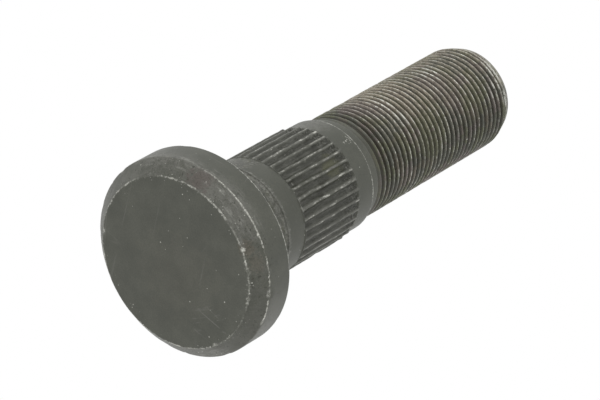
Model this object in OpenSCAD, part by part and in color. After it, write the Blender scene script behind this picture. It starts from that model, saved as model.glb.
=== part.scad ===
// Heavy wheel stud: a bevelled round head, a serrated press-fit shank and a fine thread, forged and rolled as one piece.
// It stands on its head. z = 0 is the head's outer face, and +Z runs along the axis to the tip of the thread.

/* [Head] */
// Diameter of the head's rim
head_d = 39.8; // [34:0.1:46]
// Thickness of the head, from its outer face to the seat that draws against the hub
head_h = 9.1; // [6:0.1:14]
// Width and height of the bevel round the outer face
bevel = 2.8; // [1:0.1:4]
// Radius on the head's three edges
edge_r = 0.4; // [0.2:0.05:0.8]
// Radius of the fillet between the neck and the seat
neck_fillet = 2; // [0.5:0.1:4]

/* [Neck and shank] */
// Diameter of the forged neck under the head
neck_d = 23.4; // [22:0.05:23.6]
// Length of the neck, from the seat to the machined shank
neck_l = 10.6; // [5:0.1:20]
// Diameter of the machined shank
shank_d = 23.84; // [23.7:0.02:23.98]
// Length of the machined shank, from the neck to the serrations
shank_l = 4.9; // [2:0.1:12]

/* [Serrations] */
// Number of teeth round the shank
teeth = 36; // [24:1:48]
// Diameter over the crests, which press into the hub's bore
crest_d = 24.16; // [24.06:0.02:24.6]
// Length of the serrated band
serration_l = 18.1; // [8:0.1:30]
// Width of each tooth's crest
crest_w = 0.36; // [0.2:0.02:0.5]
// Depth of the grooves between the teeth
groove_depth = 0.65; // [0.5:0.05:0.8]
// Slope of each tooth's flanks, from the radius through its crest
flank_angle = 42; // [20:1:46]
// Slope of the grooves' ends, from the axis
groove_end_angle = 50; // [30:1:80]

/* [Collar] */
// Diameter of the plain collar between the serrations and the thread
collar_d = 23.28; // [23:0.02:23.6]
// Length of the collar
collar_l = 4.8; // [2:0.1:12]
// Slope of the collar's far edge, from the axis
collar_edge_angle = 50; // [30:1:75]

/* [Thread] */
// Diameter over the crests of the M22 thread, in the middle of its tolerance
thread_d = 21.85; // [21.73:0.01:21.97]
// Rise from one crest of the thread to the next
pitch = 1.5; // [1:0.25:2]
// Length from the first groove to the tip
thread_l = 48; // [20:0.5:80]
// Diameter of the plain blank between the collar and the first groove
blank_d = 21.5; // [21.3:0.05:21.6]
// Length of the blank, from the collar's edge
blank_l = 2.5; // [1.5:0.1:8]
// Number of shallow grooves in which the thread fades in
fade_grooves = 2; // [0:1:4]
// Diameter of the end face
tip_d = 19.5; // [17:0.1:20]
// Length of the taper at the tip
tip_l = 3.3; // [1:0.1:6]

/* [Hidden] */
$fn = 120;
steel = "dimgray";
// How far a cutter reaches past the surface that it cuts
overcut = 1;

head_r = head_d/2;
face_r = head_r - bevel;
neck_r = neck_d/2;
shank_r = shank_d/2;
crest_r = crest_d/2;
floor_r = crest_r - groove_depth;
collar_r = collar_d/2;
thread_r = thread_d/2;
blank_r = blank_d/2;
tip_r = tip_d/2;

shank_z = head_h + neck_l;
serration_z = shank_z + shank_l;
collar_z = serration_z + serration_l;
blank_z = collar_z + collar_l;
thread_z = blank_z + blank_l;
tip_z = thread_z + thread_l;
taper_z = tip_z - tip_l;

// Metric thread form: 60 degree flanks, and an eighth of the pitch left flat at each crest
thread_depth = 0.6134*pitch;
crest_flat = pitch/8;
root_flat = pitch - crest_flat - 2*thread_depth*tan(30);
// A groove shallower than this on the taper is left out
least_cut = 0.3;

// Height of the centre of groove i of the thread
function groove_z(i) = thread_z + (i + 0.5)*pitch;
// Share of its full depth that groove i has
function fade(i) = min(1, (i + 1)/(fade_grooves + 1));
// Radius at the bottom of groove i
function root_r(i) = thread_r - thread_depth*fade(i);
// Radius of the crest that follows groove i, or of the blank before the first
function crest_after(i) = i < 0 ? blank_r : blank_r + (thread_r - blank_r)*fade(i);
// Half the width of groove i at radius r
function half_w(i, r) = root_flat/2 + (r - root_r(i))*tan(30);
// Radius of the tip's taper at height z
function taper_r(z) = tip_r + (thread_r - tip_r)*(tip_z - z)/tip_l;
// The grooves that still cut the taper
grooves = [for (i = [0:floor(thread_l/pitch) - 1]) if (taper_r(groove_z(i)) > root_r(i) + least_cut) i];

// The four corners of one groove of the thread, in section
function groove_points(i) = [
    [crest_after(i - 1), groove_z(i) - half_w(i, crest_after(i - 1))],
    [root_r(i), groove_z(i) - root_flat/2],
    [root_r(i), groove_z(i) + root_flat/2],
    [crest_after(i), groove_z(i) + half_w(i, crest_after(i))]
];

// Half section of the whole stud, from the head's outer face up, with sharp edges on the head
module sharp_section() {
    head = [[0, 0], [face_r, 0], [head_r, bevel], [head_r, head_h], [neck_r, head_h]];
    shank = [
        [neck_r, shank_z - (shank_r - neck_r)],
        [shank_r, shank_z],
        [shank_r, serration_z],
        [crest_r, serration_z + (crest_r - shank_r)]
    ];
    collar = [
        [crest_r, collar_z - (crest_r - collar_r)],
        [collar_r, collar_z],
        [collar_r, blank_z],
        [blank_r, blank_z + (collar_r - blank_r)/tan(collar_edge_angle)]
    ];
    thread = [for (i = grooves) each groove_points(i)];
    tip = [[crest_after(len(grooves) - 1), tip_z], [0, tip_z]];
    polygon(concat(head, shank, collar, thread, tip));
}

// The corner beyond a rounded edge: a is the half section's corner, which turns by turn degrees,
// and facing is the direction from the corner to the centre of its rounding
module edge_waste(corner, turn, facing) {
    tangent = edge_r*tan(turn/2);
    centre_distance = edge_r/cos(turn/2);
    translate(corner)
        rotate(facing)
            difference() {
                polygon([
                    [-overcut, 0],
                    [tangent*sin(turn/2), -tangent*cos(turn/2)],
                    [tangent*sin(turn/2), tangent*cos(turn/2)]
                ]);
                translate([centre_distance, 0])
                    circle(edge_r);
            }
}

// What the tip's taper takes off the thread, in section
module taper_waste() {
    past = (thread_r - tip_r)*overcut/tip_l;
    polygon([
        [thread_r + past, taper_z - overcut],
        [tip_r - past, tip_z + overcut],
        [thread_r + overcut, tip_z + overcut],
        [thread_r + overcut, taper_z - overcut]
    ]);
}

// Fillet that joins the neck to the seat, in section
module neck_fillet_section() {
    difference() {
        translate([neck_r - overcut, head_h - overcut])
            square(neck_fillet + overcut);
        translate([neck_r + neck_fillet, head_h + neck_fillet])
            circle(neck_fillet);
    }
}

// Everything that is round about the axis
module turned_body() {
    rotate_extrude() {
        difference() {
            sharp_section();
            edge_waste([face_r, 0], 45, 112.5);
            edge_waste([head_r, bevel], 45, 157.5);
            edge_waste([head_r, head_h], 90, 225);
            taper_waste();
        }
        neck_fillet_section();
    }
}

// Plan of the gaps between the teeth, as wedges with one flank of each neighbouring tooth
module groove_wedges() {
    tooth_angle = 360/teeth;
    outer_r = crest_r + overcut;
    half_opening = PI*crest_r/teeth - crest_w/2;
    spread = tan(flank_angle);
    for (i = [0:teeth - 1])
        rotate((i + 0.5)*tooth_angle)
            polygon([
                [crest_r - half_opening/spread, 0],
                [outer_r, -(half_opening + overcut*spread)],
                [outer_r, half_opening + overcut*spread]
            ]);
}

// Ring that the grooves' floors and sloping ends belong to
module groove_ring() {
    outer_r = crest_r + overcut;
    slope = tan(groove_end_angle);
    rotate_extrude()
        polygon([
            [floor_r, serration_z + (shank_r - floor_r)/slope],
            [outer_r, serration_z - (outer_r - shank_r)/slope],
            [outer_r, collar_z + (outer_r - collar_r)/slope],
            [floor_r, collar_z - (collar_r - floor_r)/slope]
        ]);
}

// The serrations' grooves, as one cutter
module serration_grooves() {
    intersection() {
        translate([0, 0, serration_z - overcut])
            linear_extrude(serration_l + 2*overcut)
                groove_wedges();
        groove_ring();
    }
}

// The stud, in one piece
module wheel_stud() {
    color(steel)
        difference() {
            turned_body();
            serration_grooves();
        }
}

wheel_stud();
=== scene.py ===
import bpy, bmesh, math, random
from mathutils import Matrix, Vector, kdtree, noise


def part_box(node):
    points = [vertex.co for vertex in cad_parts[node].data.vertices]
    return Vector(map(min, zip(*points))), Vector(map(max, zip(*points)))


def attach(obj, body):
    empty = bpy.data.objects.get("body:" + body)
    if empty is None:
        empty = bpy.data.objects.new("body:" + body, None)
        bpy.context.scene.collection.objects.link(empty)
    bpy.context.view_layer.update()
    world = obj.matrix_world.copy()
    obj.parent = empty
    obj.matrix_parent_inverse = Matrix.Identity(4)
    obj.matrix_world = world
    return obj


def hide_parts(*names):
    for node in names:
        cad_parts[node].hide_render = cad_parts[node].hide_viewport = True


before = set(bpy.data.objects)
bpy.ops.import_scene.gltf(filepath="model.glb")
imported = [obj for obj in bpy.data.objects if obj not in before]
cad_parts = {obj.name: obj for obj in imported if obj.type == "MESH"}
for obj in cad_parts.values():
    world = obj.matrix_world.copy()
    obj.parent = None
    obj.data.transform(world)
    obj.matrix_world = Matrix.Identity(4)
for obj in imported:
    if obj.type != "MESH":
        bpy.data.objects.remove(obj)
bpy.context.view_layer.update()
mm = 0.001
closeBy = 0.01  # heights this near count as one
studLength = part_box("wheel_stud")[1][2] / mm - 0.004  # kept just inside the solid's box
print("frame loaded:", list(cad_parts))

# All measures are millimetres; heights are taken from the head's outer face, and angles are
# degrees from +X. The stud stands on its head, with its thread up.
turned = {
    "columns": 360,  # vertices round the axis, a whole number for each tooth
    "faceRadii": [8, 12, 15.2, 16.1, 16.5, 16.8],  # rings of vertices on the face
    "bevelShares": [0.17, 0.3, 0.5, 0.7, 0.83],  # rings on the bevel, as shares of it
    "rimHeights": [3.25, 3.7, 4.6, 6.0, 7.4, 8.2, 8.5],
    "seatRadii": [18.6, 16.5],
    "shankHeights": [20.4, 21.4, 22.6, 23.8],
    "collarHeights": [43.4, 44.6, 45.8, 46.8],
    "headRadius": 19.885,
    "headHeight": 9.1,
    "bevel": 2.8,
    "edgeRadius": 0.4,
    "filletRadius": 2.0,
    "neckRadius": 11.7,
    "neckTop": 19.7,
    "neckStep": 0.45,
    "shankRadius": 11.92,
    "collarRadius": 11.64,
    "collarTop": 47.5,
    "collarEdge": 0.12,
    "collarSlope": 50,
    "smoothAngle": 38,
}
teeth = {
    "count": 36,
    "start": 24.6,
    "end": 42.7,
    "crestRadius": 12.08,
    "floorRadius": 11.43,
    "flankRadii": [12.08, 12.04, 11.74, 11.5],  # at 0, 1, 2 and 3 columns from the middle of a crest
    "flankSpread": [0.03, 0.1],  # how much the flanks of one tooth differ from the next
    "startSpread": 0.5,
    "endSlope": 50,
    "rowStep": 0.6,
}
thread = {
    "columns": 160,
    "radius": 10.925,
    "rootRadius": 10.02,
    "blankRadius": 10.75,
    "pitch": 1.5,
    "flankAngle": 30,
    "crestShares": [0.8, 1.7],  # rings on a crest, as shares of pitch / 16
    "rootRing": 0.1,  # from the middle of a root to its ring
    "flankHeights": [0.3, 0.55],  # rings on a flank, from the middle of its crest
    "crestFall": 0.06,  # how far the edge of a crest lies below its middle
    "start": 50.0,
    "fadeLength": 3.6,  # the grooves reach full depth over this length,
    "fadeFrom": 0.35,  # from this far above the thread's start,
    "fadeFirst": 0.12,  # at this share of the depth
    "joint": 48.9,  # where the thread's mesh meets the turned part's
    "jointGap": 0.3,
    "taperStart": 94.7,
    "tipRadius": 9.75,
    "tipRound": 0.3,
    "endRadii": [9.0, 7.0],  # rings of vertices on the end face
}
wear = {
    "seed": 7,
    "nicks": 40,  # small ones along each edge of the head
    "nickDepth": 0.12,
    "nickReach": (0.35, 0.8),
    "nickStretch": (1, 2.2),
    "chips": [  # angle, edge, reach, depth
        (-72.5, "face", 0.8, 0.3),
        (-42, "rim", 1.0, 0.34),
        (-44, "rim", 0.8, 0.24),
        (-77, "rim", 0.7, 0.18),
        (-59.6, "face", 0.8, 0.16),
        (-39, "face", 0.9, 0.2),
        (-36, "face", 0.7, 0.16),
        (138, "face", 1.0, 0.14),
        (9, "face", 0.9, 0.16),
    ],
    "collarMarks": [  # angle, height
        (-106.3, 46.5), (-107.6, 46.0), (-108.4, 45.5), (-104.6, 45.7), (62, 45.0), (150, 46.1)],
    "toothKnocks": 70,
    "toothMarks": [
        (-108, 39.9), (-104, 32.8), (-90, 31.6), (-70, 31.1), (-120, 36.0), (-80, 27.6), (-61, 35.2)],
    "threadKnocks": 90,
    "knockDepth": 0.13,
    "knockShare": (0.3, 1),  # of the depth
    "knockReach": (0.28, 0.5),
    "knockStretch": (1, 2.6),
    "bareDepth": 0.12,  # a blow this deep takes the finish off
    "toothDent": 0.09,
    "toothDentFrom": 0.12,  # higher leaves fewer dents
    "grooveRoughness": 0.03,
    "tornEnds": 0.08,  # extra where the grooves run out at the collar
    "tornLength": 8,
    "tornRise": 6,
    "toothWander": 0.15,  # how far a tooth strays to its side
    "threadDent": 0.06,
    "threadDentFrom": 0.1,
    "neckRoughness": 0.035,
    "neckMargin": 0.3,
    "wanderScale": (0.22, 0.22, 0.3),  # bumps per millimetre along x, y and z
    "toothScale": (0.9, 0.9, 0.55),
    "tornScale": (1.1, 1.1, 0.6),
    "threadScale": (0.55, 0.55, 0.9),
    "neckScale": (0.8, 0.8, 0.8),
}


def deselectAll():
    bpy.ops.object.select_all(action="DESELECT")


def startEdit(obj):
    deselectAll()
    obj.select_set(True)
    bpy.context.view_layer.objects.active = obj
    bpy.ops.object.mode_set(mode="EDIT")
    bpy.ops.mesh.select_all(action="SELECT")


def endEdit():
    bpy.ops.object.mode_set(mode="OBJECT")


def extrudeRings(points):
    # draws the selected ring out along points, each a height and a radius
    for (z0, r0), (z1, r1) in zip(points, points[1:]):
        bpy.ops.mesh.extrude_region_move(TRANSFORM_OT_translate={"value": (0, 0, (z1 - z0) * mm)})
        bpy.ops.transform.resize(value=(r1 / r0, r1 / r0, 1), center_override=(0, 0, z1 * mm))


def roundedCorner(before, corner, after, radius, steps=4):
    # points of an arc that touches both sides of a corner; a point is (height, radius)
    b, c, a = (complex(*p) for p in (before, corner, after))
    u, v = (b - c) / abs(b - c), (a - c) / abs(a - c)
    half = math.acos(max(-1, min(1, (u * v.conjugate()).real))) / 2
    reach = radius / math.tan(half)
    middle = c + (u + v) / abs(u + v) * radius / math.sin(half)
    start, sweep = c + u * reach - middle, (c + v * reach - middle) / (c + u * reach - middle)
    turn = math.atan2(sweep.imag, sweep.real) / steps
    arc = [middle + start * complex(math.cos(turn * k), math.sin(turn * k)) for k in range(steps + 1)]
    return [(z.real, z.imag) for z in arc]


def evenHeights(low, high, step):
    count = max(1, round((high - low) / step))
    return [low + (high - low) * k / count for k in range(1, count)]


def turnedProfile():
    t, s = turned, teeth
    faceRadius = t["headRadius"] - t["bevel"]
    neckEnd = t["neckTop"] - (t["shankRadius"] - t["neckRadius"])
    corners = [
        (0, t["faceRadii"][0]),
        (0, faceRadius),
        (t["bevel"], t["headRadius"]),
        (t["headHeight"], t["headRadius"]),
        (t["headHeight"], t["neckRadius"]),
        (neckEnd, t["neckRadius"]),
    ]
    points = [(0, r) for r in t["faceRadii"]]
    points += roundedCorner(corners[0], corners[1], corners[2], t["edgeRadius"])
    points += [(t["bevel"] * share, faceRadius + t["bevel"] * share) for share in t["bevelShares"]]
    points += roundedCorner(corners[1], corners[2], corners[3], t["edgeRadius"])
    points += [(z, t["headRadius"]) for z in t["rimHeights"]]
    points += roundedCorner(corners[2], corners[3], corners[4], t["edgeRadius"])
    points += [(t["headHeight"], r) for r in t["seatRadii"]]
    points += roundedCorner(corners[3], corners[4], corners[5], t["filletRadius"], steps=8)
    filletTop = t["headHeight"] + t["filletRadius"]
    points += [(z, t["neckRadius"]) for z in evenHeights(filletTop, neckEnd, t["neckStep"])]
    points += [corners[5], (t["neckTop"], t["shankRadius"])]
    points += [(z, t["shankRadius"]) for z in t["shankHeights"]]
    slope = math.tan(math.radians(s["endSlope"]))
    rise = s["crestRadius"] - t["shankRadius"]
    fall = s["crestRadius"] - t["collarRadius"]
    firstFloor = s["start"] + (t["shankRadius"] - s["floorRadius"]) / slope
    lastFloor = s["end"] - (t["collarRadius"] - s["floorRadius"]) / slope
    points += [(s["start"], t["shankRadius"]), (s["start"] + rise, s["crestRadius"])]
    points += [(firstFloor, s["crestRadius"])]
    points += [(z, s["crestRadius"]) for z in evenHeights(firstFloor, s["end"] - fall, s["rowStep"])]
    points += [(s["end"] - fall, s["crestRadius"])]
    points += [(lastFloor, s["crestRadius"] - (lastFloor - s["end"] + fall)), (s["end"], t["collarRadius"])]
    points += [(z, t["collarRadius"]) for z in t["collarHeights"]]
    drop = t["collarRadius"] - thread["blankRadius"]
    foot = (t["collarTop"] + drop / math.tan(math.radians(t["collarSlope"])), thread["blankRadius"])
    points += roundedCorner(points[-1], (t["collarTop"], t["collarRadius"]), foot, t["collarEdge"], steps=3)
    points += [foot, (thread["joint"] - thread["jointGap"], thread["blankRadius"])]
    return points


def turnPart(points):
    deselectAll()
    bpy.ops.mesh.primitive_circle_add(
        vertices=turned["columns"], radius=points[0][1] * mm, location=(0, 0, points[0][0] * mm))
    part = bpy.context.object
    part.name = "turnedPart"
    startEdit(part)
    extrudeRings(points)
    endEdit()
    return part


def toRadius(vertex, radius):
    k = radius * mm / math.hypot(vertex.co.x, vertex.co.y)
    vertex.co.x *= k
    vertex.co.y *= k


def polar(vertex):
    return vertex.co.z / mm, math.hypot(vertex.co.x, vertex.co.y) / mm, math.atan2(vertex.co.y, vertex.co.x)


def unevenness(vertex, scale, seed):
    # smooth noise from about -1 to 1
    place = Vector([c / mm * s for c, s in zip(vertex.co, scale)])
    return noise.noise(place + Vector((seed * 13.7, seed * 5.1, seed * 9.3)))


def bruise(vertex, name, seed):
    # how deep the crest is dented here, by the dents of that name in wear
    level = unevenness(vertex, wear[name + "Scale"], seed) - wear[name + "DentFrom"]
    return wear[name + "Dent"] * max(0, level) / 0.4


def pressTeeth(part):
    # moves the columns between the crests inward, down to sloping ends, and bruises the crests
    t, s = turned, teeth
    slope = math.tan(math.radians(s["endSlope"]))
    perTooth = t["columns"] // s["count"]
    rng = random.Random(wear["seed"])
    uneven = [[rng.uniform(-1, 1) for k in range(4)] for tooth in range(s["count"])]
    for v in part.data.vertices:
        z, r, angle = polar(v)
        if not (s["start"] < z < s["end"] - 0.001 and r > t["neckRadius"]):
            continue
        turn = round(math.degrees(angle) * t["columns"] / 360)
        tooth = uneven[(turn + perTooth // 2) // perTooth % s["count"]]
        late = uneven[turn // perTooth % s["count"]][3] * s["startSpread"]
        side = turn % perTooth
        column = min(side, perTooth - side)
        stray = wear["toothWander"] / r * unevenness(v, wear["wanderScale"], wear["seed"] + 5)
        v.co.x, v.co.y = r * mm * math.cos(angle + stray), r * mm * math.sin(angle + stray)
        flank = s["flankRadii"][column] if column < len(s["flankRadii"]) else s["floorRadius"]
        if column in (1, 2):
            flank += s["flankSpread"][column - 1] * tooth[0 if side < column + 1 else 1]
        if column < 3:
            flank -= bruise(v, "tooth", wear["seed"])
        else:
            share = max(0, min(1, (z - s["end"] + wear["tornLength"]) / wear["tornRise"]))
            torn = wear["grooveRoughness"] + wear["tornEnds"] * share
            flank += torn * unevenness(v, wear["tornScale"], wear["seed"] + 1)
        first, last = s["start"] + abs(late), s["end"]
        endFloor = max(t["shankRadius"] - (z - first) * slope, t["collarRadius"] - (last - z) * slope)
        toRadius(v, min(r, max(flank, endFloor)))


def cutThread():
    # one pitch of the section, made by extruding a point, then the Screw modifier
    c = thread
    flank = math.tan(math.radians(c["flankAngle"]))
    crest, root = c["pitch"] / 16, c["pitch"] / 2
    inner, outer = c["crestShares"]
    section = [(crest * inner, c["radius"]), (crest * outer, c["radius"] - c["crestFall"])]
    section += [(z, c["radius"] - (z - crest) / flank) for z in c["flankHeights"]]
    section += [(root - c["rootRing"], c["rootRadius"])]
    section += [(c["pitch"] - z, r) for z, r in reversed(section)]
    section += [(c["pitch"] + section[0][0], c["radius"])]
    # it starts two pitches early and ends late, and is trimmed afterwards
    turns = math.ceil((studLength - c["joint"]) / c["pitch"]) + 3
    base = c["start"] - 2 * c["pitch"]
    deselectAll()
    bpy.ops.mesh.primitive_plane_add(size=1, location=(0, 0, 0))
    part = bpy.context.object
    part.name = "threadPart"
    startEdit(part)
    bpy.ops.mesh.merge(type="CENTER")
    bpy.ops.transform.translate(value=(section[0][1] * mm, 0, (base + section[0][0]) * mm))
    for (z0, r0), (z1, r1) in zip(section, section[1:]):
        step = ((r1 - r0) * mm, 0, (z1 - z0) * mm)
        bpy.ops.mesh.extrude_region_move(TRANSFORM_OT_translate={"value": step})
    endEdit()
    screw = part.modifiers.new("screw", "SCREW")
    screw.axis = "Z"
    screw.screw_offset = c["pitch"] * mm
    screw.iterations = turns
    screw.steps = screw.render_steps = c["columns"]
    bpy.ops.object.modifier_apply(modifier="screw")
    startEdit(part)
    bpy.ops.mesh.remove_doubles(threshold=0.000002)
    endEdit()
    return part


def tipStart():
    # a little below the rounded edge of the end
    return studLength - 1.5 * thread["tipRound"]


def taperRadius(z):
    share = (z - thread["taperStart"]) / (studLength - thread["taperStart"])
    return thread["radius"] - (thread["radius"] - thread["tipRadius"]) * share


def shapeThread(part):
    # the grooves fade in from the blank and run out on the tip's taper; the crests are bruised
    c = thread
    for v in part.data.vertices:
        z, r = polar(v)[:2]
        if z > tipStart() - closeBy:
            continue
        share = (z - c["start"] - c["fadeFrom"]) / c["fadeLength"] + c["fadeFirst"]
        target = c["blankRadius"] + (r - c["blankRadius"]) * max(0, min(1, share))
        target = min(target, taperRadius(z))
        if r > c["radius"] - 0.1 and z > c["start"] + c["pitch"]:
            target -= bruise(v, "thread", wear["seed"] + 2)
        toRadius(v, target)


def selectOpenEdges(part, heights=None):
    # selects the open rings of edges, all of them or those at the given heights
    bpy.ops.mesh.select_mode(type="EDGE")
    bpy.ops.mesh.select_all(action="DESELECT")
    bm = bmesh.from_edit_mesh(part.data)
    for e in bm.edges:
        levels = [v.co.z / mm for v in e.verts]
        atHeight = heights is None or any(abs(levels[0] - h) < closeBy for h in heights)
        e.select_set(e.is_boundary and atHeight and abs(levels[0] - levels[1]) < closeBy)
    bmesh.update_edit_mesh(part.data)


def trimThread(part):
    # level cuts at both ends, then the rounded tip and its flat
    c = thread
    z0 = tipStart()
    r0 = taperRadius(z0)
    startEdit(part)
    for height, normal in ((c["joint"], (0, 0, -1)), (z0, (0, 0, 1))):
        bpy.ops.mesh.select_all(action="SELECT")
        bpy.ops.mesh.bisect(
            plane_co=(0, 0, height * mm), plane_no=normal, clear_outer=True, threshold=0.000001)
    endEdit()
    for v in part.data.vertices:
        if v.co.z / mm > z0 - closeBy:
            toRadius(v, r0)
    startEdit(part)
    selectOpenEdges(part, [z0])
    edge = (studLength, taperRadius(studLength))
    corner = roundedCorner((z0, r0), edge, (studLength, 0), c["tipRound"], steps=5)
    extrudeRings([(z0, r0)] + corner + [(studLength, r) for r in c["endRadii"]])
    bpy.ops.mesh.edge_face_add()
    endEdit()


def joinParts(lower, upper):
    deselectAll()
    lower.select_set(True)
    upper.select_set(True)
    bpy.context.view_layer.objects.active = lower
    bpy.ops.object.join()
    lower.name = "wheelStud"
    startEdit(lower)
    selectOpenEdges(lower, (thread["joint"] - thread["jointGap"], thread["joint"]))
    bpy.ops.mesh.bridge_edge_loops()
    selectOpenEdges(lower)
    bpy.ops.mesh.edge_face_add()
    bpy.ops.mesh.select_all(action="SELECT")
    bpy.ops.mesh.normals_make_consistent(inside=False)
    endEdit()
    return lower


def onPart(angle, radius, height):
    turn = math.radians(angle)
    return Vector((radius * math.cos(turn), radius * math.sin(turn), height)) * mm


def headNicks():
    t = turned
    edges = {  # radius, height, and the way inward as (radius, height)
        "face": (t["headRadius"] - t["bevel"], 0, -0.38, 0.92),
        "rim": (t["headRadius"], t["bevel"], -0.92, 0.38),
        "back": (t["headRadius"], t["headHeight"], -0.71, -0.71),
    }
    rng = random.Random(wear["seed"])
    nicks = list(wear["chips"])
    for edge in edges:
        for k in range(wear["nicks"]):
            depth = wear["nickDepth"] * rng.random() ** 2
            nicks.append((rng.uniform(-180, 180), edge, rng.uniform(*wear["nickReach"]), depth))
    for angle, edge, reach, depth in nicks:
        radius, height, inRadius, inHeight = edges[edge]
        outward = onPart(angle, 1, 0) / mm
        inward = outward * inRadius + Vector((0, 0, inHeight))
        along = Vector((-outward.y, outward.x, 0))
        stretch = rng.uniform(*wear["nickStretch"])
        yield onPart(angle, radius, height), inward, along, reach, stretch, depth


def crestKnocks():
    # small blows on the crests of the teeth and of the thread, and a few marks on the collar
    rng = random.Random(wear["seed"] + 1)
    s, c = teeth, thread
    up = Vector((0, 0, 1))
    marks = [(angle, z, s["crestRadius"], up) for angle, z in wear["toothMarks"]]
    marks += [(angle, z, turned["collarRadius"], (up + onPart(angle + 90, 0.8, 0) / mm).normalized())
              for angle, z in wear["collarMarks"]]
    pitchAngle = 360 / s["count"]
    for k in range(wear["toothKnocks"]):
        angle = rng.randrange(s["count"]) * pitchAngle + rng.uniform(-1.5, 1.5)
        marks.append((angle, rng.uniform(s["start"] + 1, s["end"] - 1), s["crestRadius"], up))
    for k in range(wear["threadKnocks"]):
        turns = rng.uniform(2, (c["taperStart"] - c["start"]) / c["pitch"])
        along = onPart(turns * 360 + 90, 1, 0) / mm
        marks.append((turns * 360, c["start"] + turns * c["pitch"], c["radius"], along))
    for angle, z, radius, along in marks:
        inward = -onPart(angle, 1, 0) / mm
        depth = wear["knockDepth"] * rng.uniform(*wear["knockShare"])
        reach, stretch = rng.uniform(*wear["knockReach"]), rng.uniform(*wear["knockStretch"])
        yield onPart(angle, radius, z), inward, along, reach, stretch, depth


def strike(part, blows):
    # each blow pushes a long spot of the metal inward, and "knocked" keeps where the finish is gone
    tree = kdtree.KDTree(len(part.data.vertices))
    for v in part.data.vertices:
        tree.insert(v.co, v.index)
    tree.balance()
    knocked = part.data.attributes.new("knocked", "FLOAT", "POINT")
    for centre, inward, along, reach, stretch, depth in blows:
        for co, index, distance in tree.find_range(centre, reach * stretch * mm):
            lengthwise = (co - centre).dot(along)
            crosswise = max(0, distance ** 2 - lengthwise ** 2)
            spread = math.sqrt(crosswise + (lengthwise / stretch) ** 2) / (reach * mm)
            if spread < 1:
                share = (1 - spread ** 2) ** 2
                part.data.vertices[index].co += inward * depth * share * mm
                bare = share * min(1, depth / wear["bareDepth"])
                knocked.data[index].value = max(knocked.data[index].value, bare)


def roughenNeck(part):
    # the forged neck is left as it comes, with a fine uneven skin
    t, margin = turned, wear["neckMargin"]
    for v in part.data.vertices:
        z, r = polar(v)[:2]
        if t["headHeight"] + margin < z < t["neckTop"] - margin:
            hollow = 0.5 + 0.5 * unevenness(v, wear["neckScale"], wear["seed"] + 3)
            toRadius(v, r - wear["neckRoughness"] * hollow)


turnedPart = turnPart(turnedProfile())
pressTeeth(turnedPart)
print("head, neck, serrations and collar turned")
threadPart = cutThread()
trimThread(threadPart)
shapeThread(threadPart)
print("thread cut")
wheelStud = joinParts(turnedPart, threadPart)
strike(wheelStud, list(headNicks()) + list(crestKnocks()))
roughenNeck(wheelStud)
bpy.ops.object.shade_smooth_by_angle(angle=math.radians(turned["smoothAngle"]))
print("wheel stud modelled:", len(wheelStud.data.polygons), "faces")


# Materials. Every pattern reads the piece's own Object coordinates, turned into millimetres.
finish = {  # linear colours
    "dark": (0.057, 0.06, 0.045, 1),
    "light": (0.079, 0.082, 0.063, 1),
    "pit": (0.0138, 0.0145, 0.006, 1),
    # grime and painted shade, for the thread's grooves
    "grimeAndShade": (0.0165, 0.0145, 0.004, 1),
    "scuffed": (0.13, 0.13, 0.112, 1),
    "dust": (0.129, 0.13, 0.101, 1),
    "pale": (0.23, 0.23, 0.205, 1),
    "bare": (0.56, 0.56, 0.505, 1),
    "brown": (0.112, 0.092, 0.064, 1),
    "rosy": (0.104, 0.082, 0.074, 1),
    "olive": (0.074, 0.076, 0.04, 1),
    "brownDust": (0.175, 0.155, 0.12, 1),
    "rosyDust": (0.184, 0.145, 0.143, 1),
    "oliveDust": (0.136, 0.15, 0.072, 1),
    "dusty": (0.365, 0.322, 0.248, 1),
    "roughness": 0.46,
    "bareRoughness": 0.34,
    "bareMetal": 0.85,
    "grain": 0.16,  # how much lighter and darker the crystal grain shows
    "bumpStrength": 0.8,
}
socketKinds = {"Object": "Vector", "Place": "Vector", "Centre": "Vector", "Colour": "Color"}  # else a number


def addNode(tree, kind, inputs=None, **settings):
    node = tree.nodes.new("ShaderNode" + kind)
    for name, value in settings.items():
        setattr(node, name, value)
    for name, value in (inputs or {}).items():
        if isinstance(value, bpy.types.NodeSocket):
            tree.links.new(value, node.inputs[name])
        else:
            node.inputs[name].default_value = value
    return node


def treeOf(values):
    # the node tree that the first linked value sits in
    return next(value.id_data for value in values if isinstance(value, bpy.types.NodeSocket))


def feed(value, socket):
    value.id_data.links.new(value, socket)


def calc(operation, *values):
    return addNode(treeOf(values), "Math", dict(enumerate(values)), operation=operation).outputs[0]


def plus(first, second):
    return calc("ADD", first, second)


def minus(first, second):
    return calc("SUBTRACT", first, second)


def vectorCalc(operation, *values):
    node = addNode(treeOf(values), "VectorMath", dict(enumerate(values)), operation=operation)
    return node.outputs["Value" if operation in ("LENGTH", "DISTANCE", "DOT_PRODUCT") else "Vector"]


def times(mask, *others):
    for other in others:
        mask = calc("MULTIPLY", mask, other)
    return mask


def strongest(mask, *others):
    for other in others:
        mask = calc("MAXIMUM", mask, other)
    return mask


def ramp(value, low, high, toLow=0.0, toHigh=1.0):
    # an eased step from toLow to toHigh as the value goes from low to high
    inputs = {"Value": value, "From Min": low, "From Max": high, "To Min": toLow, "To Max": toHigh}
    return addNode(value.id_data, "MapRange", inputs, interpolation_type="SMOOTHSTEP").outputs[0]


def fade(value, low, high):
    return ramp(value, low, high, 1.0, 0.0)


def blend(share, first, second):
    return addNode(share.id_data, "Mix", {0: share, 6: first, 7: second}, data_type="RGBA").outputs[2]


def paint(colour, name, share):
    return blend(share, colour, finish[name])


def noiseValue(place, scale, detail=3.0, roughness=0.55):
    inputs = {"Vector": place, "Scale": scale, "Detail": detail, "Roughness": roughness}
    return addNode(place.id_data, "TexNoise", inputs).outputs[0]


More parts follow.
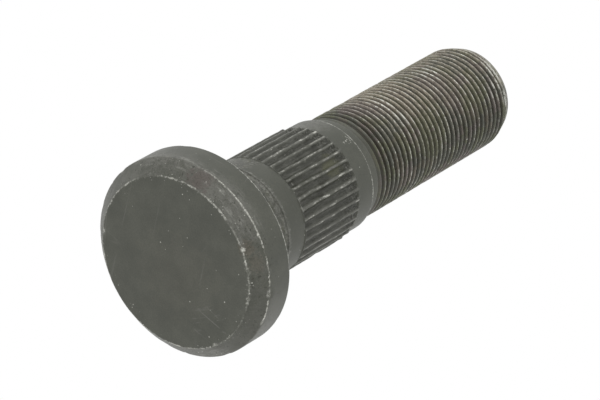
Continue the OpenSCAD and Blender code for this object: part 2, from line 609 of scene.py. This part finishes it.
def swing(place, scale, detail, roughness, width):
    # noise to both sides of nothing
    return times(minus(noiseValue(place, scale, detail, roughness), 0.5), width)


def stretched(place, scale, turn=0, shift=(0, 0, 0)):
    inputs = {"Vector": place, "Scale": scale, "Rotation": (0, 0, math.radians(turn)), "Location": shift}
    return addNode(place.id_data, "Mapping", inputs).outputs[0]


def per(size):
    # how many go into a millimetre
    return calc("DIVIDE", 1.0, size)


def nearness(distance, reach):
    # 1 in the middle and 0 as far away as the reach
    return minus(1.0, calc("DIVIDE", distance, reach))


def newGroup(name, inputs, outputs):
    # the group, and its inputs in the order of their names
    group = bpy.data.node_groups.new(name, "ShaderNodeTree")
    for labels, side in ((inputs, "INPUT"), (outputs, "OUTPUT")):
        for label in labels.split(", "):
            kind = "NodeSocket" + socketKinds.get(label, "Float")
            group.interface.new_socket(label, in_out=side, socket_type=kind)
    return group, list(group.nodes.new("NodeGroupInput").outputs)[:-1]  # without the spare socket


def closeGroup(group, *values):
    # the values follow the order of the group's outputs
    for value, socket in zip(values, group.nodes.new("NodeGroupOutput").inputs):
        feed(value, socket)
    return group


def useGroup(name, *values):
    # the values follow the order of the group's inputs
    return addNode(treeOf(values), "Group", dict(enumerate(values)), node_tree=groups[name]).outputs


def buildPosition():
    # millimetres, the distance from the axis and the height
    group, (metres,) = newGroup("studPosition", "Object", "Place, Radius, Height")
    place = stretched(metres, (1000, 1000, 1000))
    x, y, z = addNode(group, "SeparateXYZ", {0: place}).outputs
    flat = addNode(group, "CombineXYZ", {0: x, 1: y}).outputs[0]
    return closeGroup(group, place, vectorCalc("LENGTH", flat), z)


def buildFinish():
    # the blacked surface: cloudy patches, crystal grain and small pits
    group, (place, patchSize, patchStrength, grainSize, pitSize, pitShare) = newGroup(
        "blackedFinish", "Place, Patch Size, Patch Strength, Grain Size, Pit Size, Pit Share",
        "Colour, Grain, Pits")
    clouds = times(ramp(noiseValue(place, per(patchSize), 5.0, 0.6), 0.3, 0.7), patchStrength)
    low = minus(1.0, pitShare)
    return closeGroup(
        group,
        blend(clouds, finish["dark"], finish["light"]),
        noiseValue(place, per(grainSize), 2.0, 0.7),
        ramp(noiseValue(place, per(pitSize), 2.0, 0.5), low, plus(low, 0.05)))


def buildAround():
    # noise drawn out round the axis, without a seam: long along the circle, fine across it
    group, (place, radius, height, length, breadth, seed) = newGroup(
        "aroundStreaks", "Place, Radius, Height, Length, Breadth, Seed", "Value")
    unit = vectorCalc("NORMALIZE", vectorCalc("MULTIPLY", place, (1, 1, 0)))
    along = calc("DIVIDE", 12.0, length)
    circle = addNode(group, "VectorMath", {0: unit, "Scale": along}, operation="SCALE").outputs[0]
    x, y = addNode(group, "SeparateXYZ", {0: circle}).outputs[:2]
    rise = plus(calc("DIVIDE", height, breadth), seed)
    streakPlace = addNode(group, "CombineXYZ", {0: x, 1: y, 2: rise}).outputs[0]
    across = calc("DIVIDE", radius, breadth)
    inputs = {"Vector": streakPlace, "W": across, "Scale": 1.0, "Detail": 4.0, "Roughness": 0.7}
    return closeGroup(group, addNode(group, "TexNoise", inputs, noise_dimensions="4D").outputs[0])


def buildWornRing():
    # a broken bright line round the axis, where an edge has rubbed through the finish
    group, given = newGroup(
        "wornRing",
        "Place, Radius, Height, At Radius, At Height, Width, Break Size, Bare Share, Seed", "Mask")
    place, radius, height, atRadius, atHeight, width, breakSize, bareShare, seed = given
    shift = addNode(group, "CombineXYZ", {axis: seed for axis in range(3)}).outputs[0]
    moved = vectorCalc("ADD", place, shift)
    stray = swing(moved, 1.1, 3.0, 0.7, times(width, 2.4))
    away = plus(minus(radius, atRadius), stray)
    up = minus(height, atHeight)
    distance = calc("SQRT", plus(times(away, away), times(up, up)))
    breaks = noiseValue(moved, per(breakSize), 4.0, 0.65)
    bare = ramp(plus(breaks, bareShare), 0.88, 1.22)
    fine = noiseValue(moved, 2.2, 4.0, 0.75)
    reach = times(width, ramp(fine, 0.32, 0.68, 0.2, 1.9))
    line = ramp(nearness(distance, reach), 0.0, 0.55)
    return closeGroup(group, times(line, bare, ramp(fine, 0.38, 0.56, 0.15, 1.0)))


def buildPatch():
    # a ragged patch round one place
    group, (place, centre, reach, grainSize, raggedness) = newGroup(
        "raggedPatch", "Place, Centre, Reach, Grain Size, Raggedness", "Mask")
    near = nearness(vectorCalc("DISTANCE", place, centre), reach)
    broken = swing(place, per(grainSize), 4.0, 0.65, raggedness)
    return closeGroup(group, times(ramp(plus(near, broken), 0.1, 0.65), ramp(near, 0.0, 0.15)))


def buildSpecks():
    # scattered small dots, one in some of the cells
    group, (place, spacing, size, share) = newGroup("specks", "Place, Spacing, Size, Share", "Mask")
    cells = addNode(group, "TexVoronoi", {"Vector": place, "Scale": per(spacing)}).outputs
    chance = addNode(group, "SeparateXYZ", {0: cells["Color"]}).outputs[0]
    near = nearness(cells["Distance"], calc("DIVIDE", size, spacing))
    return closeGroup(group, times(ramp(near, 0.0, 0.5), calc("LESS_THAN", chance, share)))


def buildScratches():
    # hair lines along the place's own Y, where a stretched noise crosses its middle
    group, (place, spacing, width, share) = newGroup(
        "hairScratches", "Place, Spacing, Width, Share", "Mask")
    wave = noiseValue(stretched(place, (1, 0.09, 0.5)), per(spacing), 0.0)
    line = calc("ABSOLUTE", minus(wave, 0.5))
    thin = fade(calc("DIVIDE", line, width), 0.4, 1.0)
    area = noiseValue(place, times(per(spacing), 0.55), 2.0)
    return closeGroup(group, times(thin, ramp(plus(area, share), 0.95, 1.08)))


def buildKnocked():
    # where a blow has taken the finish off, broken up by small flecks
    group, (place, blow) = newGroup("knockedBare", "Place, Blow", "Mask")
    flecks = ramp(noiseValue(place, 2.8, 4.0, 0.75), 0.42, 0.58, 0.05, 1.0)
    return closeGroup(group, times(ramp(blow, 0.3, 0.95), flecks))


def buildWorn():
    # bare metal over the finish, its gloss, and the fine relief of grain, pits and scuffs
    group, (colour, bare, grain, pits, scuffs, grainRelief) = newGroup(
        "wornFinish", "Colour, Bare, Grain, Pits, Scuffs, Grain Relief",
        "Colour, Roughness, Metallic, Relief")
    shade = ramp(grain, 0.3, 0.7, 1 - finish["grain"], 1 + finish["grain"])
    tint = addNode(group, "CombineXYZ", {axis: shade for axis in range(3)}).outputs[0]
    satin = ramp(grain, 0.3, 0.7, finish["roughness"] - 0.06, finish["roughness"] + 0.08)
    satin = plus(satin, times(scuffs, 0.08))
    gloss = minus(finish["bareRoughness"], satin)
    relief = minus(times(grain, grainRelief), pits)
    return closeGroup(
        group,
        paint(vectorCalc("MULTIPLY", colour, tint), "bare", bare),
        calc("MULTIPLY_ADD", bare, gloss, satin),
        times(bare, finish["bareMetal"]),
        minus(relief, times(bare, 0.25)))


groups = {
    "position": buildPosition(),
    "finish": buildFinish(),
    "worn": buildWorn(),
    "knocked": buildKnocked(),
    "around": buildAround(),
    "wornRing": buildWornRing(),
    "patch": buildPatch(),
    "specks": buildSpecks(),
    "scratches": buildScratches(),
}


def wornRing(where, *values):
    # radius and height of the edge, width, size and share of the breaks, seed
    return useGroup("wornRing", *where, *values)[0]


def around(where, length, breadth, seed=0.0):
    return useGroup("around", *where, length, breadth, seed)[0]


def patches(place, rows):
    # each row holds a centre, reach, grain size, raggedness and, where it isn't full, a strength
    return strongest(*(times(useGroup("patch", place, *row[:4])[0], *row[4:]) for row in rows))


def alike(values, *centres):
    # rows of patches that differ in their place only
    return [(centre, *values) for centre in centres]


def specks(place, spacing, size, share):
    return useGroup("specks", place, spacing, size, share)[0]


def scratches(place, rows):
    # each row holds spacing, width, share and the lines' turn
    return strongest(*(
        useGroup("scratches", stretched(place, (1, 1, 1), turn, (turn + 210, 130, 40)), *values)[0]
        for *values, turn in rows))


def knocks(place):
    blow = addNode(place.id_data, "Attribute", attribute_name="knocked").outputs["Fac"]
    return useGroup("knocked", place, blow)[0]


def startMaterial(name, marks):
    # also gives a point's place, radius and height, the plain finish, and the patches by name
    material = bpy.data.materials.new(name)
    material.use_nodes = True
    coordinates = addNode(material.node_tree, "TexCoord").outputs["Object"]
    where = tuple(useGroup("position", coordinates))

    def marked(name):
        return patches(where[0], marks[name])

    skin = useGroup("finish", where[0], *marks["skin"])
    return material, material.node_tree.nodes["Principled BSDF"], where, skin, marked


def finishMaterial(shader, colour, bare, grain, pits, scuffs, bumpSize, grainRelief):
    # the size of the bumps is in millimetres
    worn = useGroup("worn", colour, bare, grain, pits, scuffs, grainRelief)
    for value, name in zip(worn, ("Base Color", "Roughness", "Metallic")):
        feed(value, shader.inputs[name])
    bump = {"Height": worn["Relief"], "Distance": bumpSize * mm, "Strength": finish["bumpStrength"]}
    feed(addNode(shader.id_data, "Bump", bump).outputs[0], shader.inputs["Normal"])


headMarks = {  # rows as the functions above take them
    "skin": (6.0, 1.0, 0.3),  # patch size and strength, grain size; its pits are laid on the bevel
    "faceEdge": (0.17, 1.5, 0.56, 3.0),
    "rimEdge": (0.155, 2.6, 0.6, 11.0),
    "backEdge": (0.23, 2.4, 0.82, 23.0),
    "backRubbed": (0.34, 1.2, 0.75, 29.0),
    "tornEdge": (0.5, 0.5, 0.5, 41.0),
    "speckledEdge": (1.3, 3.0, 0.6, 31.0),
    "sideScuff": [((-16.5, -10.0, 3.0), 11.0, 1.8, 0.8)],
    "scuffs": [
        ((-3.4, -18.2, 1.4), 11.0, 1.6, 1.0), ((16.5, 7.5, 0.9), 9.0, 0.9, 1.6, 0.7),
        ((-13.0, 12.5, 0.9), 9.0, 1.0, 1.5, 0.7),
    ],
    "lowBand": [((17.4, -9.0, 5.2), 8.0, 2.5, 0.7, 0.35)],
    # painted shade on the bevel's side away from the lamp
    "shade": [((16.4, -8.8, 1.2), 9.5, 2.0, 0.8), ((18.4, -2.0, 1.2), 8.0, 2.0, 0.8)],
    "rosy": [((-9.9, -15.7, 1.4), 3.6, 0.9, 2.2)],
    "brown": [
        ((5.4, -17.0, 0.6), 2.2, 0.5, 2.4, 0.6), ((8.6, -16.3, 1.6), 2.4, 0.5, 2.8, 0.4),
        ((2.5, 1.0, 0.0), 13.0, 3.0, 1.6, 0.1),
    ],
    "hairs": [(9.0, 0.008, 0.42, 35), (7.0, 0.007, 0.4, -62), (5.0, 0.009, 0.38, 8)],
    "lowMarks": [((13.0, 1.0, 0.0), 5.0, 1.5, 0.8)],
    "lowHairs": [(2.4, 0.03, 0.62, -70), (2.0, 0.03, 0.58, -20)],
    "crispSide": [((6.0, -19.0, 3.5), 25.0, 4.0, 0.3)],
    "faintSide": [((15.8, -3.5, 0.0), 9.5, 3.0, 0.4)],
    "gaps": [((-15.6, -6.4, 0.0), 3.6, 0.8, 0.8), ((0.9, -17.1, 0.0), 3.4, 0.8, 0.8, 0.3)],
    "tear": [((9.6, -14.4, 0.2), 6.0, 0.6, 1.4)],
    "backWear": [((0.5, -19.9, 9.0), 17.0, 4.0, 0.4), ((-2.0, 19.8, 9.0), 12.0, 4.0, 0.4)],
    "backRub": [((-5.6, -19.1, 9.1), 5.5, 1.0, 0.8), ((7.2, -18.5, 9.1), 8.5, 1.0, 0.8)],
    "bare": [((5.15, -16.45, 0.1), 0.7, 0.3, 1.8), ((4.3, -19.35, 2.75), 0.5, 0.3, 1.8)],
}


def headSteel():
    t, marks = turned, headMarks
    material, shader, where, skin, marked = startMaterial("headSteel", marks)
    place, radius, height = where
    faceRadius = t["headRadius"] - t["bevel"]
    onBevel = times(
        ramp(radius, faceRadius, faceRadius + 0.3), fade(height, t["bevel"] - 0.1, t["bevel"] + 0.3))
    nearBevel = times(
        ramp(radius, faceRadius - 0.5, faceRadius + 0.3), fade(height, t["bevel"] - 0.4, t["bevel"] + 3.4))
    blotches = noiseValue(place, 0.5, 6.0, 0.8)
    sideScuff = times(marked("sideScuff"), ramp(height, 1.0, 2.6, 0.3, 1.0))
    scuffZone = times(strongest(sideScuff, marked("scuffs")), nearBevel)
    scuffed = times(scuffZone, ramp(blotches, 0.34, 0.56, 0.3, 1.0))
    bevelMottle = times(onBevel, ramp(blotches, 0.4, 0.6, 0.0, 0.45))
    colour = skin["Colour"]
    for name, mask in (
            ("scuffed", strongest(marked("lowBand"), bevelMottle)),
            ("scuffed", scuffed),
            # painted shade: the bevel's side away from the lamp is darkened with the pit colour
            ("pit", times(onBevel, marked("shade"), 0.2)),
            ("pale", times(scuffZone, ramp(around(where, 2.0, 0.6), 0.52, 0.64), 0.8)),
            ("rosy", times(onBevel, marked("rosy"), 0.55)),
            ("brown", times(marked("brown"), 0.7))):
        colour = paint(colour, name, mask)
    darkPits = ramp(noiseValue(place, 1.5, 4.0, 0.75), 0.56, 0.66)
    bevelPits = times(darkPits, ramp(nearBevel, 0.0, 0.5, 0.1, 0.65))
    colour = paint(colour, "pit", bevelPits)
    hairs = times(scratches(place, marks["hairs"]), 0.4)
    lowHairs = times(marked("lowMarks"), scratches(place, marks["lowHairs"]), 0.8)
    colour = paint(colour, "scuffed", strongest(hairs, lowHairs))
    # light and heavy wear come and go round each edge
    comeAndGo = noiseValue(stretched(place, (1, 1, 1), 0, (17, 5, 0)), 0.16, 2.0)
    faceLine = times(
        wornRing(where, faceRadius + 0.03, 0.06, *marks["faceEdge"]),
        ramp(comeAndGo, 0.36, 0.54, 0.25, 1.0),
        ramp(marked("faintSide"), 0.0, 0.7, 1.0, 0.4),
        ramp(marked("gaps"), 0.0, 0.5, 1.0, 0.15))
    rimLine = times(
        wornRing(where, t["headRadius"] - 0.06, t["bevel"], *marks["rimEdge"]),
        ramp(marked("crispSide"), 0.15, 0.6, 0.06, 1.0))
    backLine = times(
        wornRing(where, t["headRadius"] - 0.1, t["headHeight"] - 0.1, *marks["backEdge"]),
        ramp(marked("backWear"), 0.1, 0.7, 0.3, 1.0))
    backRub = times(
        wornRing(where, t["headRadius"] - 0.1, t["headHeight"] - 0.05, *marks["backRubbed"]),
        marked("backRub"))
    # the face's edge is torn wider below the chip
    tear = times(
        wornRing(where, faceRadius - 0.05, 0.1, *marks["tornEdge"]),
        marked("tear"),
        ramp(blotches, 0.42, 0.58, 0.1, 0.7))
    edgeSpecks = times(
        specks(place, 0.6, 0.12, 0.6), wornRing(where, faceRadius + 0.2, 0.2, *marks["speckledEdge"]), 0.8)
    bare = strongest(
        faceLine,
        rimLine,
        backLine,
        backRub,
        tear,
        edgeSpecks,
        marked("bare"),
        times(knocks(place), 0.65),
        times(specks(place, 2.6, 0.17, 0.9), ramp(height, 1.5, 3.0, 0.85, 0.2)),
        times(specks(place, 1.7, 0.11, 0.55), ramp(height, 0.1, 0.4, 0.8, 0.1)),
        times(specks(place, 0.9, 0.14, 0.5), scuffed, 0.7))
    finishMaterial(shader, colour, bare, skin["Grain"], bevelPits, scuffed, bumpSize=0.03, grainRelief=0.25)
    return material


bandMarks = {
    "skin": (4.5, 0.6, 0.3, 0.55, 0.36),  # patch size and strength, grain size, pit size and share
    "stepEdge": (0.75, 1.6, 0.6, 17.0),
    "collarRing": (0.22, 2.4, 0.56, 5.0),
    "reachUp": [((-10.4, -5.7, 24.0), 7.0, 2.0, 1.2, 6.0)],  # its strength is in millimetres
    "olive": [
        ((-0.4, -11.6, 38.0), 3.6, 1.2, 1.0, 0.95), ((3.0, 11.2, 33.0), 4.0, 1.2, 1.2, 0.6),
        ((-9.0, 7.4, 29.0), 3.0, 1.2, 1.2, 0.6),
    ],
    "deepPits": alike(
        (1.5, 0.4, 1.3),
        (-1.1, -11.6, 26.2), (3.4, -11.1, 31.6), (2.0, -11.4, 33.0), (-6.5, -9.6, 38.7), (-4.9, -10.5, 38.1)),
    "collarScuff": [((-9.6, -6.6, 45.2), 5.0, 1.4, 1.2), ((6.0, 10.0, 45.2), 4.0, 1.4, 1.6, 0.6)],
    "collarFlecks": [((-3.3, -11.2, 45.9), 1.6, 0.3, 1.0)],
    "bare": [((-0.9, -12.0, 39.6), 0.7, 0.3, 1.4), *alike(
        (0.45, 0.15, 2.4, 0.3),
        (-1.1, -11.55, 26.3), (-4.2, -11.3, 38.1), (-0.2, -12.0, 31.5), (-3.8, -11.4, 33.0),
        (3.7, -11.4, 24.9))],
}


def bandSteel():
    t, s, marks = turned, teeth, bandMarks
    material, shader, where, skin, marked = startMaterial("bandSteel", marks)
    place, radius, height = where
    # the rough skin of the neck reaches further up the shank on one side
    wander = swing(place, 0.7, 4.0, 0.7, 1.6)
    skinHeight = minus(height, plus(marked("reachUp"), wander))
    onNeck = times(
        fade(skinHeight, t["neckTop"] - 0.5, t["neckTop"] + 0.4),
        fade(plus(radius, wander), 12.1, 13.4))
    mottle = around(where, 0.9, 0.6, 5.0)
    clusters = ramp(noiseValue(place, 0.3, 4.0, 0.7), 0.42, 0.58, 0.3, 1.0)
    neckMottleAndPaintedLight = times(onNeck, ramp(mottle, 0.38, 0.58, 0.0, 0.75), ramp(clusters, 0.3, 1.0, 0.7, 1.1))
    # the neck is painted lighter: partly its own mottled skin, partly painted light against the shade under
    # the head's back; its pale flecks and the pale line at the step are partly painted light too
    colour = paint(skin["Colour"], "scuffed", neckMottleAndPaintedLight)
    colour = paint(colour, "olive", times(onNeck, ramp(noiseValue(place, 0.6), 0.5, 0.68), 0.5))
    neckFlecksAndPaintedLight = times(onNeck, clusters, ramp(mottle, 0.53, 0.66))
    stepLine = wornRing(where, t["shankRadius"] - 0.1, t["neckTop"] - 0.15, *marks["stepEdge"])
    colour = paint(colour, "pale", strongest(neckFlecksAndPaintedLight, times(stepLine, 0.7)))
    # the valleys hold the dark finish and the pits, the crests are rubbed bright
    onTeeth = times(
        ramp(height, s["start"], s["start"] + 0.5), fade(height, s["end"] - 0.5, s["end"] - 0.1))
    valley = times(onTeeth, fade(radius, 11.5, 11.95))
    streaks = noiseValue(stretched(place, (1.5, 1.5, 0.3)), 1.0, 5.0, 0.7)
    colour = paint(colour, "pit", times(valley, ramp(streaks, 0.36, 0.6, 0.85, 0.2)))
    colour = paint(colour, "scuffed", times(valley, ramp(streaks, 0.5, 0.7, 0.0, 0.8)))
    colour = paint(colour, "pit", times(onTeeth, fade(radius, 11.46, 11.68), 0.35))
    # pits and torn flecks gather at the collar end and in a few places along the valleys
    pitted = strongest(
        ramp(height, s["end"] - 7.5, s["end"] - 3.0, 0.3, 1.0),
        ramp(noiseValue(place, 0.22), 0.52, 0.62, 0.3, 1.0))
    pits = strongest(skin["Pits"], ramp(noiseValue(place, 1.4, 4.0, 0.8), 0.5, 0.58))
    pits = times(pits, strongest(times(valley, pitted), times(onNeck, 0.4)))
    grooveEnds = times(onTeeth, ramp(height, s["end"] - 5.5, s["end"] - 1.2))
    torn = noiseValue(place, 1.9, 2.0, 0.6)
    darkEnds = times(grooveEnds, ramp(torn, 0.49, 0.42), fade(radius, 11.75, 12.02))
    deepPits = times(marked("deepPits"), fade(radius, 11.9, 12.04))
    dark = strongest(pits, darkEnds, deepPits)
    colour = paint(colour, "pit", dark)
    colour = paint(colour, "scuffed", times(grooveEnds, ramp(torn, 0.56, 0.63), 0.8))
    colour = paint(colour, "olive", times(marked("olive"), valley))
    colour = paint(colour, "scuffed", times(
        ramp(height, t["collarTop"] - 0.05, t["collarTop"] + 0.1),
        fade(height, t["collarTop"] + 0.5, t["collarTop"] + 0.8),
        ramp(mottle, 0.36, 0.56, 0.35, 1.0)))
    colour = paint(colour, "scuffed", times(
        ramp(height, s["end"] - 0.3, s["end"] + 0.3),
        marked("collarScuff"),
        ramp(mottle, 0.36, 0.58, 0.2, 0.9)))
    # crest wear runs in broken dashes along each tooth
    dashes = noiseValue(stretched(place, (0.8, 0.8, 0.42)), 1.0, 5.0, 0.7)
    fine = noiseValue(stretched(place, (2.4, 2.4, 1.1)), 1.0, 3.0, 0.7)
    ridge = plus(radius, times(minus(fine, 0.5), 0.16))
    someTeeth = noiseValue(stretched(place, (0.5, 0.5, 0.06), 0, (3, 8, 0)), 1.0, 2.0)
    crestWear = times(
        onTeeth,
        ramp(ridge, 12.035, 12.095),
        ramp(dashes, 0.42, 0.57, 0.05, 1.0),
        ramp(someTeeth, 0.36, 0.56, 0.45, 1.0),
        ramp(fine, 0.4, 0.56, 0.3, 1.0))
    lightCrest = times(onTeeth, ramp(radius, 11.72, 12.04), ramp(dashes, 0.4, 0.58, 0.2, 0.8))
    colour = paint(colour, "scuffed", lightCrest)
    bare = strongest(
        crestWear,
        marked("bare"),
        times(knocks(place), 0.7),
        times(marked("collarFlecks"), specks(place, 0.5, 0.23, 0.7), 0.8),
        times(wornRing(where, t["collarRadius"] - 0.02, t["collarTop"], *marks["collarRing"]), 0.8),
        times(specks(place, 2.4, 0.15, 0.5), 0.7))
    finishMaterial(
        shader, colour, bare, skin["Grain"], dark, neckMottleAndPaintedLight, bumpSize=0.04, grainRelief=0.3)
    return material


threadMarks = {
    "skin": (5.0, 1.0, 0.28, 0.45, 0.4),  # as on the band
    "tipEdge": (0.2, 2.4, 0.56, 9.0),
    "tints": [  # colour, where its cloud starts and is full, share, the cloud's shift, and placed spots
        ("brown", 0.5, 0.62, 0.8, (40, 0, 0), [
            ((-7.0, -8.4, 66.0), 8.0, 2.2, 1.2),
            ((-1.7, -10.7, 67.5), 4.5, 2.2, 1.2),
            ((3.6, -10.2, 84.9), 4.0, 2.2, 1.2),
        ]),
        ("olive", 0.47, 0.58, 0.85, (0, 70, 0), [
            ((4.0, -10.1, 69.5), 8.0, 2.2, 1.2),
            ((-1.9, -10.6, 72.5), 4.0, 2.2, 1.2),
            ((0.7, -10.8, 88.7), 4.5, 2.2, 1.2),
        ]),
        ("rosy", 0.52, 0.62, 0.7, (0, 0, 90), [
            ((-4.7, -9.8, 79.0), 7.0, 2.2, 1.2),
            ((0.4, -10.8, 79.8), 4.0, 2.2, 1.2),
            ((-7.7, -7.6, 60.0), 7.0, 2.2, 1.2),
        ]),
    ],
    # the worn side, towards the lamp, where the thread is also painted lighter as a painted highlight
    "wornAndLitSide": (-0.076, -0.051, 0),
    "khaki": [((-8.0, -7.4, 68.0), 13.0, 3.0, 0.8), ((-5.2, -9.5, 72.0), 8.5, 2.4, 0.8)],
    "bright": [
        ((-1.2, -10.4, 96.0), 4.5, 1.0, 1.2), ((4.9, -9.3, 96.4), 2.6, 1.0, 1.2),
        ((2.2, -10.6, 93.2), 3.2, 1.0, 1.2), ((-7.6, -7.9, 81.0), 4.0, 1.2, 1.4),
        ((-6.5, -8.8, 63.2), 4.0, 1.2, 1.4), ((-1.8, -10.8, 63.6), 3.0, 1.2, 1.4),
    ],
}


def threadSteel():
    c, marks = thread, threadMarks
    material, shader, where, skin, marked = startMaterial("threadSteel", marks)
    place, radius, height = where
    # depth below the crests, which follow the taper at the tip
    slope = (c["radius"] - c["tipRadius"]) / (studLength - c["taperStart"])
    taper = times(calc("MAXIMUM", minus(height, c["taperStart"]), 0.0), slope)
    depth = minus(minus(c["radius"], taper), radius)
    cut = ramp(height, c["start"] - 0.5, c["start"] + 2.5)
    colour = skin["Colour"]
    dustTints = finish["dust"]
    stains = 0.0
    for tint, low, high, share, shift, rows in marks["tints"]:
        spots = patches(place, rows)
        cloud = noiseValue(stretched(place, (1, 1, 1), 0, shift), 0.2, 4.0, 0.65)
        tinted = strongest(ramp(cloud, low, high), spots)
        colour = paint(colour, tint, times(cut, tinted, share))
        dustTints = paint(dustTints, tint + "Dust", times(tinted, 0.85))
        stains = strongest(spots, stains)
    # the crests are rubbed, most on the worn side and near the tip; that side, towards the lamp, also carries
    # a painted highlight: paler crests and flanks, and narrower, less dark grooves
    facing = vectorCalc("DOT_PRODUCT", place, marks["wornAndLitSide"])
    wornAndLitSide = times(
        ramp(plus(facing, swing(place, 0.3, 3.0, 0.55, 0.8)), -0.2, 0.85),
        ramp(height, c["start"] + 3, c["start"] + 12, 0.2, 1.0))
    groove = times(cut, ramp(minus(depth, times(wornAndLitSide, 0.16)), 0.1, 0.42))
    zone = strongest(
        ramp(noiseValue(place, 0.16, 4.0, 0.6), 0.44, 0.64, 0.15, 0.65),
        wornAndLitSide,
        ramp(height, c["taperStart"] - 4, c["taperStart"] + 2, 0.0, 0.3))
    dots = around(where, 0.8, 0.35, 7.0)
    cut = times(cut, ramp(height, studLength - 1.5, studLength - 0.7, 1.0, 0.3))
    crest = times(cut, fade(depth, 0.02, 0.13))
    crestColour = paint(dustTints, "dusty", strongest(marked("khaki"), times(wornAndLitSide, 0.6)))
    colour = blend(
        times(crest, ramp(zone, 0.1, 0.8, 0.45, 1.0), ramp(dots, 0.36, 0.54, 0.4, 1.0)), colour, crestColour)
    colour = blend(
        times(cut, fade(depth, 0.1, 0.55), zone, ramp(dots, 0.4, 0.54, 0.2, 0.9)), colour, crestColour)
    # grime and painted shade darken the grooves, the first ones most and the rest less on the worn, lit side
    firstGrooves = times(
        ramp(depth, 0.22, 0.4),
        ramp(height, c["start"] - 1.0, c["start"] - 0.3),
        fade(height, c["start"] + 2.0, c["start"] + 5.0))
    colour = paint(colour, "grimeAndShade", times(firstGrooves, 0.9))
    colour = paint(colour, "grimeAndShade", times(
        groove,
        ramp(dots, 0.36, 0.6, 1.0, 0.6),
        ramp(wornAndLitSide, 0.0, 1.0, 1.0, 0.3),
        ramp(stains, 0.0, 0.8, 1.0, 0.55)))
    thinCrest = times(
        cut,
        fade(depth, 0.0, 0.09),
        ramp(around(where, 4.5, 0.7), 0.4, 0.6, 0.25, 1.0),
        ramp(dots, 0.44, 0.58, 0.1, 1.0),
        ramp(zone, 0.1, 0.7, 0.45, 1.0))
    glints = times(
        cut, fade(depth, 0.05, 0.25), marked("bright"), ramp(dots, 0.42, 0.54))
    bare = strongest(
        thinCrest,
        glints,
        times(knocks(place), 0.7),
        times(wornRing(where, c["tipRadius"], studLength - 0.1, *marks["tipEdge"]), 0.7),
        times(specks(place, 1.1, 0.2, 0.5), crest, 0.95))
    pits = times(skin["Pits"], 0.7)
    finishMaterial(shader, colour, bare, skin["Grain"], pits, crest, bumpSize=0.03, grainRelief=0.35)
    return material


def faceMaterials(part):
    # the head's faces, the thread's faces, and the rest between them
    for material in (headSteel(), bandSteel(), threadSteel()):
        part.data.materials.append(material)
    for face in part.data.polygons:
        z = face.center.z / mm
        onHead = z < turned["headHeight"] + closeBy
        onThread = z > thread["joint"] - thread["jointGap"] - closeBy
        face.material_index = 0 if onHead else 2 if onThread else 1


faceMaterials(wheelStud)
print("finishes applied")

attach(wheelStud, "root")
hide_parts("wheel_stud")


studio = {
    "surround": 0.78,  # strength of the white room on the stud; the camera sees it at 1
    "lampPower": 0.8,
    "lampPlace": (-0.42, -0.42, 0.12),
    "lampSize": (0.4, 0.3),
    "lampAim": (0, 0, 0.04),
    "floorSize": 1.6,
    "floorDrop": 0.2 * mm,
    "floorColour": (0.9, 0.9, 0.9, 1),
    "cameraPlace": (0.02943, -0.46775, -0.46741),  # fitted to the photograph's outline
    "cameraTurn": (155.101, -36.054, -48.328),
    "lens": 214.7,
    "sensorWidth": 36,
}


def whiteWorld():
    world = bpy.data.worlds.new("studio")
    bpy.context.scene.world = world
    world.use_nodes = True
    tree = world.node_tree
    path = addNode(tree, "LightPath")
    seen = strongest(*(path.outputs["Is " + ray + " Ray"] for ray in ("Camera", "Glossy", "Transmission")))
    background = tree.nodes["Background"]
    background.inputs["Color"].default_value = (1, 1, 1, 1)
    level = addNode(tree, "MapRange", {"Value": seen, "To Min": studio["surround"], "To Max": 1.0})
    tree.links.new(level.outputs[0], background.inputs["Strength"])


def softLamp():
    lamp = bpy.data.objects.new("overheadSoftbox", bpy.data.lights.new("overheadSoftbox", "AREA"))
    bpy.context.collection.objects.link(lamp)
    lamp.data.shape = "RECTANGLE"
    lamp.data.size, lamp.data.size_y = studio["lampSize"]
    lamp.data.energy = studio["lampPower"]
    lamp.location = studio["lampPlace"]
    lamp.rotation_euler = (Vector(studio["lampAim"]) - lamp.location).to_track_quat("-Z", "Y").to_euler()


def paleFloor():
    # the photograph looks up at the head from below the floor, so the floor shows from above only
    deselectAll()
    bpy.ops.mesh.primitive_plane_add(size=studio["floorSize"], location=(0, 0, -studio["floorDrop"]))
    floor = bpy.context.object
    floor.name = "floor"
    material = bpy.data.materials.new("paleFloor")
    material.use_nodes = True
    tree = material.node_tree
    path = addNode(tree, "LightPath")
    side = addNode(tree, "NewGeometry")
    shown = times(path.outputs["Is Camera Ray"], minus(1.0, side.outputs["Backfacing"]))
    white = addNode(tree, "BsdfDiffuse", {"Color": studio["floorColour"]})
    clear = addNode(tree, "BsdfTransparent")
    mix = addNode(tree, "MixShader", {0: shown, 1: clear.outputs[0], 2: white.outputs[0]})
    tree.links.new(mix.outputs[0], tree.nodes["Material Output"].inputs["Surface"])
    floor.data.materials.append(material)


def placeCamera():
    camera = bpy.data.objects.new("camera", bpy.data.cameras.new("camera"))
    bpy.context.collection.objects.link(camera)
    camera.location = studio["cameraPlace"]
    camera.rotation_euler = [math.radians(a) for a in studio["cameraTurn"]]
    camera.data.lens = studio["lens"]
    camera.data.sensor_width = studio["sensorWidth"]
    camera.data.clip_start = 0.01
    bpy.context.scene.camera = camera


placeCamera()
whiteWorld()
softLamp()
paleFloor()
bpy.context.scene.view_settings.view_transform = "Standard"
print("camera, light and floor set")
